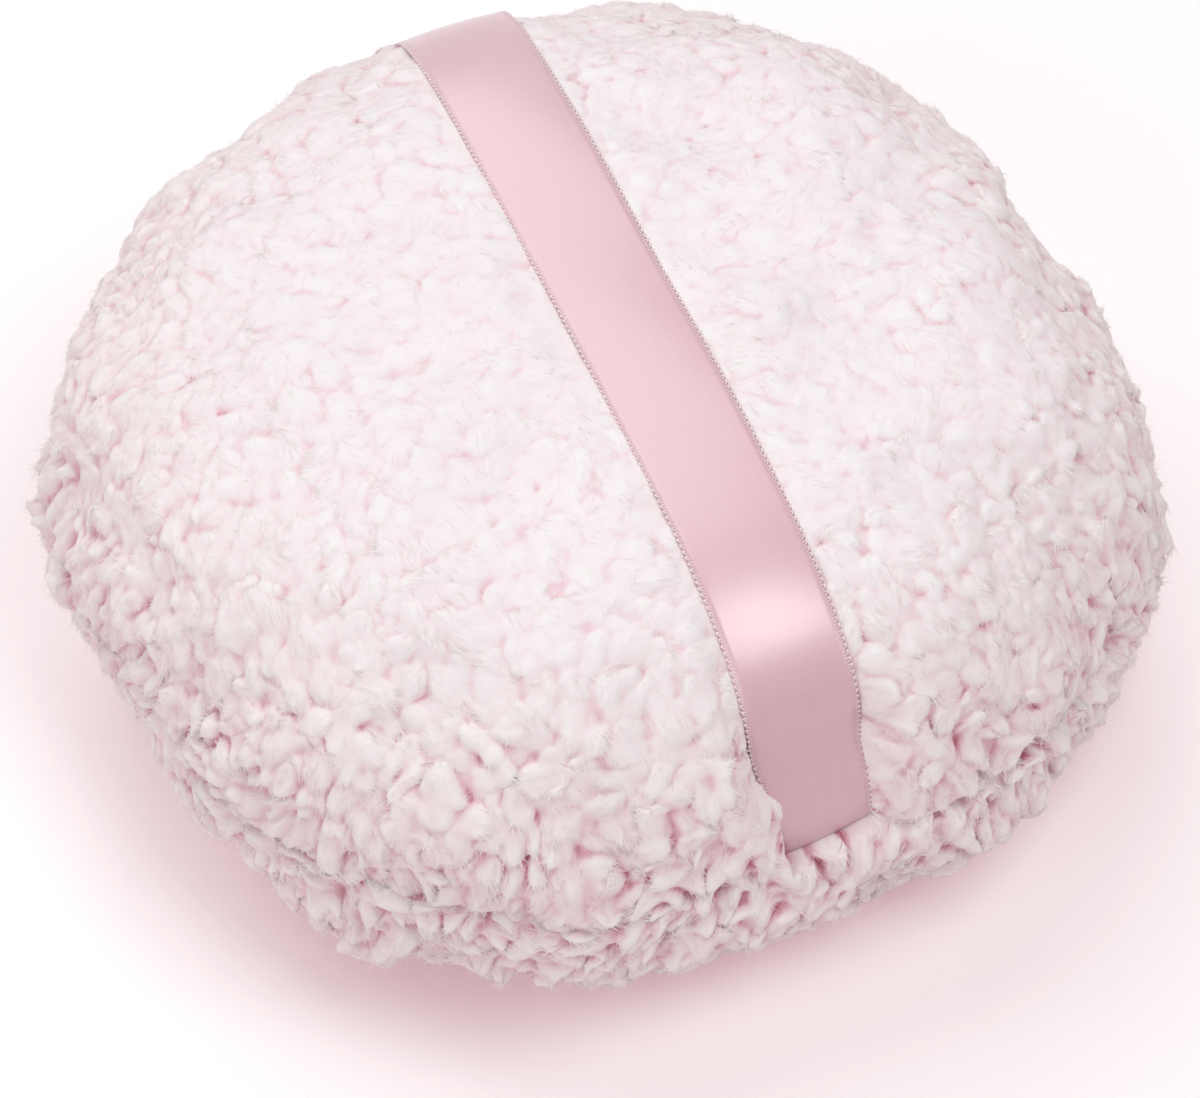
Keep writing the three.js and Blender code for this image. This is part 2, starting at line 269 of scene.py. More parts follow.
camera_data = bpy.data.cameras.new("camera")
camera = bpy.data.objects.new("camera", camera_data)
bpy.context.scene.collection.objects.link(camera)
bpy.context.scene.camera = camera
facing = Matrix((sight_right, sight_up, sight_back)).transposed().to_4x4()
camera.matrix_world = Matrix.Translation(aim + sight_back * camera_distance) @ facing
camera_data.sensor_fit = "HORIZONTAL"
camera_data.sensor_width = 36
camera_data.lens = camera_data.sensor_width * focal_pixels / picture_width
camera_data.clip_start = 0.01
print("lens", round(camera_data.lens), "mm")

# %% [markdown]
# ## The outline of a half
#
# Each half of the puff is a stuffed cushion. Seen from the side it is a superellipse: rounder
# than a drum and squarer than an ellipse. At the seam it rolls under, because the stitches
# pull its edge in. The same curve shapes the cushion under the fleece and tells where the
# locks of fleece stand, so it is written once. It runs from 0 at the crown to 1 at the seam.


# %% Outline
def outline(along, side, crown, powers, depth):
    """How far out and how high a half's outline is, and the way it faces there."""
    arch_end = 0.8
    quarter = np.pi / 2
    reach = puff_radius - depth
    rise = crown - depth - edge_roll
    turn = np.clip(along / arch_end, 1e-4, 1 - 1e-4) * quarter
    roll = np.clip((along - arch_end) / (1 - arch_end), 0, 1) * quarter
    on_arch = along < arch_end
    arch_across = reach * np.sin(turn) ** (2 / powers[0])
    arch_height = edge_roll + rise * np.cos(turn) ** (2 / powers[1])
    roll_across = reach - edge_tuck * (1 - np.cos(roll))
    roll_height = edge_roll * (1 - np.sin(roll))
    across = np.where(on_arch, arch_across, roll_across)
    height = np.where(on_arch, arch_height, roll_height)
    arch_out = (arch_across / reach) ** (powers[0] - 1) * powers[0] / reach
    arch_up = ((arch_height - edge_roll) / rise) ** (powers[1] - 1) * powers[1] / rise
    out = np.where(on_arch, arch_out, np.cos(roll) / edge_tuck)
    up = np.where(on_arch, arch_up, -np.sin(roll) / edge_roll)
    size = np.hypot(out, up)
    return across, side * height, out / size, side * up / size


# %% [markdown]
# ## The cushions under the fleece
#
# A ball is given the half's outline, a little smaller, remeshed evenly and blown up as cloth,
# as the fibre wad does to the real cover. The seam is held fast, and no point may move more
# than a millimetre. The cloth is worked at ten times its size, because the forces of the
# simulation suit things as large as furniture. Then the flat side, where the two halves meet
# and nothing shows, is taken away, and what is left is divided into a fine net.

# %% Helpers for meshes
ball_segments = (72, 60)
ball_turn = 1.5
cloth_scale = 10
cloth_voxel = 20 * MM
cloth_swell = 10 * MM
cloth_pressure = 4
cloth_frames = 20
net_levels = 3
pile_depth = 1.6 * MM
even_pull = 0.6
BAKE_MAP = "OFBake"
map_limits = (0.01, 0.99)


def add_object(name, data):
    made = bpy.data.objects.new(name, data)
    bpy.context.scene.collection.objects.link(made)
    return made


def mesh_of(name, net):
    """Turns a bmesh, which is used up, into a mesh."""
    mesh = bpy.data.meshes.new(name)
    net.to_mesh(mesh)
    net.free()
    return mesh


def net_of(mesh):
    net = bmesh.new()
    net.from_mesh(mesh)
    return net


def put_back(net, mesh):
    net.to_mesh(mesh)
    net.free()


def apply_modifiers(piece):
    """Bakes a piece's modifiers into its mesh."""
    depsgraph = bpy.context.evaluated_depsgraph_get()
    depsgraph.update()
    mesh = bpy.data.meshes.new_from_object(piece.evaluated_get(depsgraph))
    piece.modifiers.clear()
    piece.data = mesh


def rows_of(items, name):
    """What each corner of a mesh holds under one name, as rows of three."""
    found = np.empty(len(items) * 3)
    items.foreach_get(name, found)
    return found.reshape(-1, 3)


def move_corners(mesh, spots):
    mesh.vertices.foreach_set("co", spots.ravel())
    mesh.update()


def evened(rows, mesh, rounds):
    """What the corners hold after each has come nearer its neighbours, some times over."""
    edges = np.empty(len(mesh.edges) * 2, dtype=np.int32)
    mesh.edges.foreach_get("vertices", edges)
    ends, others = edges.reshape(-1, 2).T
    here = np.concatenate([ends, others])
    there = np.concatenate([others, ends])
    share = even_pull / np.maximum(np.bincount(here, minlength=len(rows)), 1)
    even = rows.copy()
    for _ in range(rounds):
        for axis in range(rows.shape[1]):
            total = np.bincount(here, weights=even[there, axis], minlength=len(rows))
            even[:, axis] = (1 - even_pull) * even[:, axis] + total * share
    return even


def arrays_of(mesh):
    """A mesh's corners, faces and map as arrays."""
    faces = np.empty(len(mesh.loops), dtype=np.int32)
    mesh.loops.foreach_get("vertex_index", faces)
    sizes = np.empty(len(mesh.polygons), dtype=np.int32)
    mesh.polygons.foreach_get("loop_total", sizes)
    chart = np.zeros(len(mesh.loops) * 2)
    if BAKE_MAP in mesh.uv_layers:
        mesh.uv_layers[BAKE_MAP].data.foreach_get("uv", chart)
    spots = rows_of(mesh.vertices, "co")
    return {"corners": spots, "faces": faces, "sizes": sizes, "chart": chart.reshape(-1, 2)}


# %% Cushions
def make_cushion(name, side, crown, powers):
    """A blown-up half. The last third of the ball it is made from becomes its flat side."""
    net = bmesh.new()
    columns, rows = ball_segments
    bmesh.ops.create_uvsphere(net, u_segments=columns, v_segments=rows, radius=1)
    for corner in net.verts:
        turn = math.acos(max(-1.0, min(1.0, side * corner.co.z))) / math.pi * ball_turn
        across, height, _, _ = outline(min(turn, 1.0), side, crown, powers, pile_depth)
        if turn > 1:
            across = across * (ball_turn - turn) / (ball_turn - 1)
        angle = math.atan2(corner.co.y, corner.co.x)
        corner.co = (across * math.cos(angle), across * math.sin(angle), height)
    bmesh.ops.scale(net, vec=(cloth_scale, cloth_scale, cloth_scale), verts=net.verts)
    bmesh.ops.recalc_face_normals(net, faces=net.faces)
    piece = add_object(name, mesh_of(name, net))
    remesh = piece.modifiers.new("even", "REMESH")
    remesh.mode = "VOXEL"
    remesh.voxel_size = cloth_voxel
    apply_modifiers(piece)
    before = rows_of(piece.data.vertices, "co")
    inflate(piece, before)
    move = rows_of(piece.data.vertices, "co") - before
    length = np.linalg.norm(move, axis=1, keepdims=True)
    move *= np.minimum(1, cloth_swell / np.maximum(length, 1e-9))
    spots = (before + move) / cloth_scale
    spots[:, 2] += seam_height
    move_corners(piece.data, spots)
    open_below(piece.data, side)
    smooth = piece.modifiers.new("fine", "SUBSURF")
    smooth.levels = net_levels
    smooth.render_levels = net_levels
    apply_modifiers(piece)
    print(name, len(piece.data.vertices), "corners, swelled", round(float(length.max()), 3))
    return piece


def inflate(piece, spots):
    """Blows a piece up as cloth, with the corners near its seam held."""
    held = piece.vertex_groups.new(name="seam")
    near_seam = np.nonzero(np.abs(spots[:, 2]) < edge_roll * cloth_scale / 3)[0]
    held.add([int(corner) for corner in near_seam], 1.0, "REPLACE")
    cloth = piece.modifiers.new("cloth", "CLOTH").settings
    cloth.use_pressure = True
    cloth.uniform_pressure_force = cloth_pressure
    cloth.vertex_group_mass = "seam"
    cloth.effector_weights.gravity = 0
    for step in range(1, cloth_frames + 1):
        bpy.context.scene.frame_set(step)
    apply_modifiers(piece)
    bpy.context.scene.frame_set(1)


def open_below(mesh, side):
    """Takes away the flat side at the seam."""
    net = net_of(mesh)
    flat = [face for face in net.faces if face.normal.z * side < -0.9]
    middles = [(face, face.calc_center_median().z) for face in flat]
    low = [face for face, height in middles if abs(height - seam_height) < edge_roll / 3]
    bmesh.ops.delete(net, geom=low, context="FACES")
    put_back(net, mesh)


upper_half = (1, upper_crown, upper_powers)
lower_half = (-1, lower_crown, lower_powers)
upper_cushion = make_cushion("upper_cushion", *upper_half)
lower_cushion = make_cushion("lower_cushion", *lower_half)

# %% [markdown]
# ## Where the tufts stand
#
# Curly fleece is a crowd of small tufts, each a flat bundle of fine fibres that lies over its
# neighbours like a shingle. Their middles are set out along a spiral that keeps an even
# distance, then shaken, so that no rows show. They are closer on the flanks, where they are
# narrower. Each is put on the nearest point of the simulated cushion and takes the way the
# cushion faces there.

# %% Roots
golden_angle = math.pi * (3 - math.sqrt(5))
flank_crowd = 0.8
shake_along = 6
shake_round = 0.02


def spread_roots(cushion, count, side, crown, powers):
    """Even, shaken places on a cushion: where each root is and the way it faces."""
    along = np.linspace(0, 1, 600)
    across, height, out, up = outline(along, side, crown, powers, pile_depth)
    steps = np.hypot(np.diff(across), np.diff(height))
    crowd = 1 + flank_crowd * (1 - np.abs(up))
    weight = (across * crowd)[1:] * steps
    share = np.concatenate([[0], np.cumsum(weight)])
    share /= share[-1]
    wanted = (np.arange(count) + 0.5 + rng.normal(0, shake_along, count)) / count
    place = np.interp(np.clip(wanted, 0, 1), share, along)
    angle = np.arange(count) * golden_angle + rng.normal(0, shake_round, count)
    across, height, _, _ = outline(place, side, crown, powers, pile_depth)
    tree = BVHTree.FromObject(cushion, bpy.context.evaluated_depsgraph_get())
    roots = np.empty((count, 3))
    ways = np.empty((count, 3))
    for i in range(count):
        guess = (across[i] * math.cos(angle[i]), across[i] * math.sin(angle[i]))
        spot, way, _, _ = tree.find_nearest((*guess, seam_height + height[i]))
        roots[i] = spot
        ways[i] = way
    return roots, ways


def unit_rows(rows):
    return rows / np.maximum(np.linalg.norm(rows, axis=1, keepdims=True), 1e-12)


def eddies(spots, scale, offset):
    """A soft random direction that changes slowly from place to place."""
    aside = Vector((offset, 0, 0))
    return np.array([noise.noise_vector(Vector(spot) * scale + aside) for spot in spots])


# %% [markdown]
# ## Combing the fleece
#
# On top the tufts are broad and low and lie over in soft eddies, any way. On the flank they
# are narrow and high, and their own weight draws them down. Each tuft has finer wisps on it,
# which lie nearly the same way, so tufts and wisps are two sets of the same thing.

# %% Combed tufts
tuft_sizes = {
    "long": (3.6 * MM, 3.4 * MM),
    "wide": (3.1 * MM, 1.9 * MM),
    "high": (0.45 * MM, 2.2 * MM),
    "drift": (1.0, 0.7),
    "chance": (0.6, 0.4),
}
wisp_sizes = {
    "long": (1.6 * MM, 1.7 * MM),
    "wide": (0.9 * MM, 0.62 * MM),
    "high": (0.09 * MM, 0.34 * MM),
    "drift": (1.0, 0.7),
    "chance": (0.35, 0.3),
}
hang = (0.0, 0.9)
lie_eddies = (120, 3)
size_spread = 0.22
size_limits = (0.55, 1.6)
seam_longer = 0.5
seam_near = 4 * MM
clump_high = (0.3 * MM, 0.6 * MM)
clump_eddies = (220, 40)


def between(pair, share):
    """A value for each place: the first on the open top, the second on the flank."""
    return pair[0] * share + pair[1] * (1 - share)


def comb(roots, ways, side, sizes):
    """Each tuft's middle, the way it lies and its size."""
    count = len(roots)
    share = np.clip(ways[:, 2:3] * side, 0, 1) if side > 0 else np.zeros((count, 1))
    lie = eddies(roots, *lie_eddies) * 2 * between(sizes["drift"], share)
    lie += rng.normal(0, 1, (count, 3)) * between(sizes["chance"], share)
    lie += np.array([0, 0, -1.0]) * between(hang, share)
    lie = unit_rows(lie - ways * np.sum(lie * ways, axis=1, keepdims=True))
    size = np.clip(rng.normal(1, size_spread, (count, 1)), *size_limits)
    at_seam = np.exp(-(((roots[:, 2:3] - seam_height) / seam_near) ** 2))
    return {
        "middle": roots,
        "lie": lie,
        "across": np.cross(ways, lie),
        "long": (size * between(sizes["long"], share) * (1 + seam_longer * at_seam))[:, 0],
        "wide": (size * between(sizes["wide"], share) * rng.normal(1, 0.12, (count, 1)))[:, 0],
        "high": (between(sizes["high"], share) * rng.uniform(0.5, 1.2, (count, 1)))[:, 0],
        "turn": rng.uniform(0, 2 * np.pi, (count, 2)),
    }


# %% [markdown]
# ## Raising the tufts
#
# Every corner of the net looks up the tufts nearest to it and takes the height of the one that
# stands highest there. A tuft is a flat egg, thin at its root and full towards its tip, and
# frayed there. The corner moves outwards by that height, and also a little the way the tuft
# lies, so that tips overhang the next tuft and throw the small shadows that fleece has.

# %% Raised tufts
near_tufts = 12
bend_size = 0.6 * MM
bend_eddies = (450, 20)
fray_waves = (5, 10)
fray_along = 0.08
fray_high = 0.05
root_share = 0.45


def raised(spots, tufts):
    """For each corner, the height of the highest tuft over it and which tuft that is."""
    tree = KDTree(len(tufts["middle"]))
    for i, middle in enumerate(tufts["middle"]):
        tree.insert(middle, i)
    tree.balance()
    near = np.array([[found[1] for found in tree.find_n(spot, near_tufts)] for spot in spots])
    bent = spots + eddies(spots, *bend_eddies) * bend_size
    away = bent[:, None, :] - tufts["middle"][near]
    along = 0.5 + np.sum(away * tufts["lie"][near], axis=2) / tufts["long"][near]
    across = 2 * np.sum(away * tufts["across"][near], axis=2) / tufts["wide"][near]
    turn = tufts["turn"][near]
    fray = 0.6 * np.sin(across * fray_waves[0] + turn[..., 0])
    fray += 0.4 * np.sin(across * fray_waves[1] + turn[..., 1])
    along = along * (1 + fray_along * fray)
    egg = np.maximum(4 * along * (1 - along) - across**2, 0) ** 0.5
    height = tufts["high"][near] * egg * (root_share + (1 - root_share) * along)
    height *= 1 + fray_high * fray
    highest = np.argmax(height, axis=1)
    row = np.arange(len(spots))
    return height[row, highest], near[row, highest]


# %% [markdown]
# ## Lumps and swells
#
# The puff is filled by hand, so it has low lumps all over and a rim that is fuller in some
# places than in others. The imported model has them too, apart from the last two swells, where
# the ribbon's ends pull the rim in. A lump is where a few waves that cross in different
# directions add up. They die away at the seam, beside the ribbon and where the puff stands. A
# swell is given by its direction and its spread in degrees and its share of the fullest.

# %% Uneven filling
lump_height = 0.8 * MM
lump_pitch = 14 * MM
lump_waves = 6
stand_radius = 22 * MM
rim_swell = 2 * MM
swells = (
    (-34, 11, 0.8),
    (-115, 8, 0.6),
    (-136, 15, 0.75),
    (-172, 12, -0.8),
    (158, 9, 0.7),
    (4, 17, -1.4),
    (-90, 14, -1.0),
    (90, 14, -0.2),
)


def bell(spots, centre, spread):
    """1 for places that lie in one direction, and less with the angle from it."""
    degrees = np.degrees(np.arctan2(spots[:, 1], spots[:, 0]))
    off = (degrees - centre + 180) % 360 - 180
    return np.exp(-((off / spread) ** 2))


def uneven(spots):
    """Moves places of the fleece to where the puff's uneven filling pushes them."""
    middle = np.array([0, 0, seam_height])
    away = spots - middle
    waves = np.zeros(len(spots))
    for i in range(lump_waves):
        level = 1 - (2 * i + 1) / lump_waves
        flat = math.sqrt(1 - level**2)
        turn = i * golden_angle
        way = np.array([flat * math.cos(turn), flat * math.sin(turn), level])
        waves += np.sin(2 * np.pi * away @ way / lump_pitch + i**2)
    out = np.hypot(away[:, 0], away[:, 1])
    free = np.clip(np.abs(away[:, 2]) / edge_roll, 0, 1)
    off_ribbon = np.clip(2 * np.abs(away[:, 0]) / ribbon_width - 1, 0, 1)
    off_stand = np.clip(out / stand_radius - 1, 0, 1)
    free *= np.where(away[:, 2] > 0, off_ribbon, off_stand)
    lift = lump_height * 2 / lump_waves * waves * free
    away *= (1 + lift / np.linalg.norm(away, axis=1))[:, None]
    swell = np.zeros(len(spots))
    for centre, spread, share in swells:
        swell += rim_swell * share * bell(away, centre, spread)
    away[:, :2] *= (1 + swell / puff_radius * (out / puff_radius) ** 2)[:, None]
    return middle + away


# %% [markdown]
# ## Ribbon, seam and table
#
# The fleece sinks beside the ribbon to the ribbon's height, what is under it is pressed flat,
# and nothing goes below the table. The ribbon isn't laid quite in the middle, or quite
# straight, and its left edge is gathered where it goes into the seams. It stands off a little
# at its rear shoulder, sinks in above its front end, and its left corner there hangs over the
# seam. The fleece bulges over the seam, but less to the right of the ribbon's front end, where
# it was combed out of the needle's way, and the lower half leaves room for the ribbon's ends.

# %% Settled fleece
bed_fade = 3.2 * MM
press_fade = 0.5 * MM
ribbon_aside = 1.35 * MM
ribbon_skew = -0.55 * MM
rear_turn = 1.65 * MM
ribbon_under = 0.08 * MM
dent_depth = 1.8 * MM
dent_height = 8 * MM
dent_spread = 3.6 * MM
stand_rise = 1.4 * MM
stand_height = 12 * MM
stand_spread = 9 * MM
front_gather = (0.42, 7 * MM)
rear_gather = (0.05, 14 * MM)
corner_drop = 2 * MM
corner_fade = 4.5 * MM
cover_share = 0.85
cover_down = 1.0 * MM
bare_middle = -62
bare_spread = 26
bare_share = 0.5
end_angle = 87.5
end_spread = 11
end_room = 0.15 * MM
table_soft = 0.3 * MM


def ribbon_middle(y):
    """How far aside the ribbon's middle line is at a place along the puff."""
    bend = np.clip(y / rear_reach, 0, 1) ** 4
    return ribbon_aside + ribbon_skew * y / rear_reach + rear_turn * bend


def dent(y, z):
    """How far the ribbon sinks in above its front end, where the fleece is softest."""
    off = (z - seam_height - dent_height) / dent_spread
    return dent_depth * np.exp(-(off**2)) * (y < 0)


def stand(y, z):
    """How far the ribbon stands off at its rear shoulder, where the fleece is fullest."""
    off = (z - seam_height - stand_height) / stand_spread
    return stand_rise * np.exp(-(off**2)) * np.clip(y / rear_reach, 0, 1)


def left_reach(y, z):
    """How far the ribbon's left edge is from its middle: less where it goes into a seam."""
    share = np.where(y < 0, front_gather[0], rear_gather[0])
    fade = np.where(y < 0, front_gather[1], rear_gather[1])
    return ribbon_width / 2 * (1 - share * np.exp(-(((z - seam_height) / fade) ** 2)))


def drop(aside, y, z):
    """How far the ribbon hangs over the front seam: nothing at its right edge, most at its left."""
    share = np.clip(0.5 - aside / ribbon_width, 0, 1) * (y < 0)
    return corner_drop * share * np.exp(-(((z - seam_height) / corner_fade) ** 2))


def beyond_ribbon(spots):
    """How far places are outside the ribbon's edges, less than 0 where they are under it."""
    aside = spots[:, 0] - ribbon_middle(spots[:, 1])
    left = left_reach(spots[:, 1], spots[:, 2])
    return np.where(aside < 0, -aside - left, aside - ribbon_width / 2)


def under_ribbon(spots):
    """How far each place is to be drawn in to lie under the ribbon's arch, as a share."""
    y, z = spots[:, 1], spots[:, 2]
    under = ribbon_thick + ribbon_under + dent(y, z) - stand(y, z)
    reach = np.where(y < 0, front_reach, rear_reach) - under
    rise = ribbon_crown - seam_height - under
    inward = np.ones(len(spots))
    for _ in range(5):
        level = (np.abs(y) * inward / reach) ** ribbon_powers[0]
        level += (np.maximum(z - seam_height, 0) * inward / rise) ** ribbon_powers[1]
        inward = np.minimum(inward * np.maximum(level, 1e-6) ** (-1 / 3), 1)
    return inward


def drawn_in(spots, inward):
    """Places moved towards the seam's middle, but not sideways."""
    moved = spots.copy()
    moved[:, 1] *= inward
    moved[:, 2] = seam_height + (spots[:, 2] - seam_height) * inward
    return moved


def bedded(spots, ground):
    """Sinks the fleece beside the ribbon, its tufts as they are, to where its ground would be."""
    fade = 1 - np.clip(beyond_ribbon(ground) / bed_fade, 0, 1)
    fade = fade * fade * (3 - 2 * fade)
    return drawn_in(spots, 1 - (1 - under_ribbon(ground)) * fade)


def at_ends(spots):
    """1 at the ribbon's two ends, and less with the angle from them."""
    return bell(spots, end_angle, end_spread) + bell(spots, -end_angle, end_spread)


def seam_cover(spots, side):
    """How far the fleece bulges out over the seam, and on the upper half also down."""
    away = spots - np.array([0, 0, seam_height])
    near = np.clip(1 - np.abs(away[:, 2]) / edge_roll, 0, 1)
    bare = bare_share * bell(spots, bare_middle, bare_spread)
    covered = 1 - (bare if side > 0 else at_ends(spots))
    tuck = edge_tuck * (1 - np.sqrt(1 - near**2)) * covered
    move = away / np.hypot(away[:, 0], away[:, 1])[:, None] * (cover_share * tuck)[:, None]
    beside = np.clip(beyond_ribbon(spots) / MM, 0, 1)
    move[:, 2] = -cover_down * max(side, 0) * near * covered * beside
    return move


def outwards(spots, facings, side):
    """The way the tufts stand: as the cushion faces, but straight out where it rolls under."""
    away = spots - np.array([0, 0, seam_height])
    near = np.clip(1.3 - np.abs(away[:, 2:3]) / edge_roll, 0, 1)
    if side < 0:
        near *= 1 - at_ends(spots)[:, None]
    away[:, 2] = 0
    return unit_rows(facings * (1 - near) + unit_rows(away) * near)


def settle(spots, side):
    """Keeps the upper fleece under the ribbon and the lower one above the table."""
    settled = spots
    if side > 0:
        beside = np.clip(beyond_ribbon(spots) / press_fade, 0, 1)
        settled = drawn_in(spots, 1 - (1 - under_ribbon(spots)) * (1 - beside) ** 2)
    else:
        x, y, z = spots.T
        low = seam_height - end_room - drop(x - ribbon_middle(y), y, z)
        settled[:, 2] = np.where(beyond_ribbon(spots) < 0, np.minimum(z, low), z)
    deep = settled[:, 2] < table_soft
    settled[deep, 2] = table_soft * np.exp(settled[deep, 2] / table_soft - 1)
    return settled


# %% [markdown]
# ## Fibres
#
# The last thing is the fibre itself. Fine flat fibres are strewn over the tufts and lie along
# them, some of them past the tip. Hair particles would be lost when the model is exported, so
# each fibre is a strip of two faces, and all of them are copied at once as arrays.

# %% Fibres
fibre_width = 0.055 * MM
fibre_long = (0.7 * MM, 1.6 * MM)
fibre_sunk = 0.02 * MM
fibre_stray = 0.25
fibre_rise = (0.02, 0.14)
fibre_curl = 0.2
fibre_droop = 0.15
fibre_tone = (-0.12, 0.25)
top_thinning = 0.5


def fibre_unit():
    """A strip of two faces, 1 long, that runs to a point."""
    net = bmesh.new()
    net.loops.layers.uv.new(BAKE_MAP)
    bmesh.ops.create_grid(net, x_segments=1, y_segments=2, size=1, calc_uvs=True)
    for corner in net.verts:
        corner.co.z = (corner.co.y + 1) / 2
        corner.co.x *= 0.5 if corner.co.z < 0.9 else 0.0
        corner.co.y = 0
    bmesh.ops.remove_doubles(net, verts=net.verts, dist=0.01)
    return arrays_of(mesh_of("unit", net))


fibre = fibre_unit()


def repeat_shape(unit, spots, chart):
    """Copies of one small shape, with each copy's corners given."""
    count = len(spots)
    starts = np.arange(count) * len(unit["corners"])
    faces = np.tile(unit["faces"], count) + np.repeat(starts, len(unit["faces"]))
    sizes = np.tile(unit["sizes"], count)
    return {"corners": spots.reshape(-1, 3), "faces": faces, "sizes": sizes, "chart": chart}


def place_fibres(spots, facings, lie, chart, count, side):
    """Fine flat fibres that lie along the tufts."""
    pick = rng.integers(0, len(lie), count)
    pick = pick[rng.random(count) > top_thinning * chart[pick, 0]]
    count = len(pick)
    out = facings[pick]
    way = lie[pick] + rng.normal(0, fibre_stray, (count, 3))
    way -= out * np.sum(way * out, axis=1, keepdims=True)
    way = unit_rows(unit_rows(way) + out * rng.uniform(*fibre_rise, (count, 1)))
    long = rng.uniform(*fibre_long, count)[:, None]
    curl = (rng.normal(0, fibre_curl, (count, 3)) - out * fibre_droop) * long
    flat = unit_rows(np.cross(way, out))
    x, _, along = [fibre["corners"][:, axis][None, :, None] for axis in range(3)]
    base = spots[pick] - out * fibre_sunk
    made = base[:, None, :] + (way * long)[:, None, :] * along
    made = made + curl[:, None, :] * along**2 + flat[:, None, :] * x * fibre_width
    tone = np.repeat(chart[pick], len(fibre["faces"]), axis=0)
    shade = np.repeat(rng.uniform(*fibre_tone, count), len(fibre["faces"]))
    tone[:, 1] = np.clip(tone[:, 1] + shade, *map_limits)
    group = repeat_shape(fibre, made, tone)
    group["corners"] = settle(group["corners"], side)
    return group


def joined_mesh(name, groups):
    """One mesh from several groups of copies."""
    starts = np.cumsum([0] + [len(group["corners"]) for group in groups])
    faces = np.concatenate([group["faces"] + start for group, start in zip(groups, starts)])
    corners, sizes, chart = [
        np.concatenate([group[key] for group in groups]) for key in ("corners", "sizes", "chart")
    ]
    mesh = bpy.data.meshes.new(name)
    mesh.vertices.add(len(corners))
    mesh.vertices.foreach_set("co", corners.ravel())
    mesh.loops.add(len(faces))
    mesh.loops.foreach_set("vertex_index", faces.astype(np.int32))
    mesh.polygons.add(len(sizes))
    loop_starts = np.concatenate([[0], np.cumsum(sizes)[:-1]]).astype(np.int32)
    mesh.polygons.foreach_set("loop_start", loop_starts)
    mesh.polygons.foreach_set("use_smooth", np.ones(len(sizes), dtype=bool))
    mesh.uv_layers.new(name=BAKE_MAP).data.foreach_set("uv", chart.ravel())
    mesh.update(calc_edges=True)
    return mesh


# %% [markdown]
# ## Both fleeces
#
# Each half is made the same way: tufts, then wisps on them, then the swells and the press of
# the ribbon. The map holds two numbers for the finish: how open the place is, and how high it
# lies between the root and the tip of its tuft. At the seam the fleece turns in, and one flat
# face closes it behind there. The random numbers start afresh for the lower half, so that its
# tufts stay where they are when the upper one gets more fibres or fewer.

# %% Fleece of both halves
tuft_lean = 0.4
lean_rounds = 5
soft_rounds = 1
crease_rounds = 50
crease_shade_gain = (1.0, 1.7)
middle_tone = 0.62
bed_share = 0.45
seam_turn = 5 * MM
seam_depth = (0.01, 0.3)
upper_counts = (4200, 26000, 140000)
lower_counts = (4200, 22000, 110000)


def close_below(mesh):
    """Turns the fleece in at the seam, then closes it."""
    net = net_of(mesh)
    rim = [edge for edge in net.edges if edge.is_boundary]
    turned = bmesh.ops.extrude_edge_only(net, edges=rim)["geom"]
    for corner in turned:
        if isinstance(corner, bmesh.types.BMVert):
            inward = 1 - seam_turn / math.hypot(corner.co.x, corner.co.y)
            corner.co = (corner.co.x * inward, corner.co.y * inward, seam_height)
    rim = [edge for edge in net.edges if edge.is_boundary]
    bmesh.ops.holes_fill(net, edges=rim, sides=0)
    bmesh.ops.recalc_face_normals(net, faces=net.faces)
    put_back(net, mesh)


def make_fleece(name, cushion, counts, side, crown, powers):
    """Raises tufts, wisps and fibres on a cushion, which is used up."""
    mesh = cushion.data
    spots = rows_of(mesh.vertices, "co")
    facings = rows_of(mesh.vertices, "normal")
    share = np.clip(facings[:, 2:3] * side, 0, 1) * max(side, 0)
    standing = outwards(spots, facings, side)
    roots, ways = spread_roots(cushion, counts[0], side, crown, powers)
    tufts = comb(roots, ways, side, tuft_sizes)
    tuft_height, tuft = raised(spots, tufts)
    roots, ways = spread_roots(cushion, counts[1], side, crown, powers)
    wisp_height, _ = raised(spots, comb(roots, ways, side, wisp_sizes))
    height = (tuft_height + wisp_height)[:, None]
    lie = tufts["lie"][tuft]
    lean = evened(lie * height * tuft_lean, mesh, lean_rounds)
    clump = eddies(spots, *clump_eddies)[:, 0:1] * between(clump_high, share)
    moved = evened(spots + standing * (height + clump) + lean, mesh, soft_rounds)
    moved += seam_cover(spots, side)
    most = between(tuft_sizes["high"], share) + between(wisp_sizes["high"], share)
    # Pockets get low numbers and tips high ones, more strongly on the flank; the ramp paints pink
    # dye and shade from them.
    proud = (height - evened(height, mesh, crease_rounds)) / most
    tone = middle_tone + proud * between(crease_shade_gain, share)
    chart = np.clip(np.hstack([share, tone]), *map_limits)
    moved = uneven(moved)
    if side > 0:
        moved = bedded(moved, uneven(spots + standing * most * bed_share))
    move_corners(mesh, settle(moved, side))
    close_below(mesh)
    facings = rows_of(mesh.vertices, "normal")
    skin = arrays_of(mesh)
    # The turned-in part takes a deep pocket pink of the flank ramp, dye with painted shade.
    turned_in = len(skin["corners"]) - len(chart)
    chart = np.vstack([chart, np.tile(seam_depth, (turned_in, 1))])
    skin["chart"] = chart[skin["faces"]]
    fuzz = place_fibres(skin["corners"], facings, lie, chart, counts[2], side)
    piece = add_object(name, joined_mesh(name, [skin, fuzz]))
    bpy.data.objects.remove(cushion)
    print(name, len(skin["sizes"]), "faces,", len(fuzz["sizes"]) // len(fibre["sizes"]), "fibres")
    return piece


upper_fleece = make_fleece("upper_fleece", upper_cushion, upper_counts, *upper_half)
rng = np.random.default_rng(8)
lower_fleece = make_fleece("lower_fleece", lower_cushion, lower_counts, *lower_half)
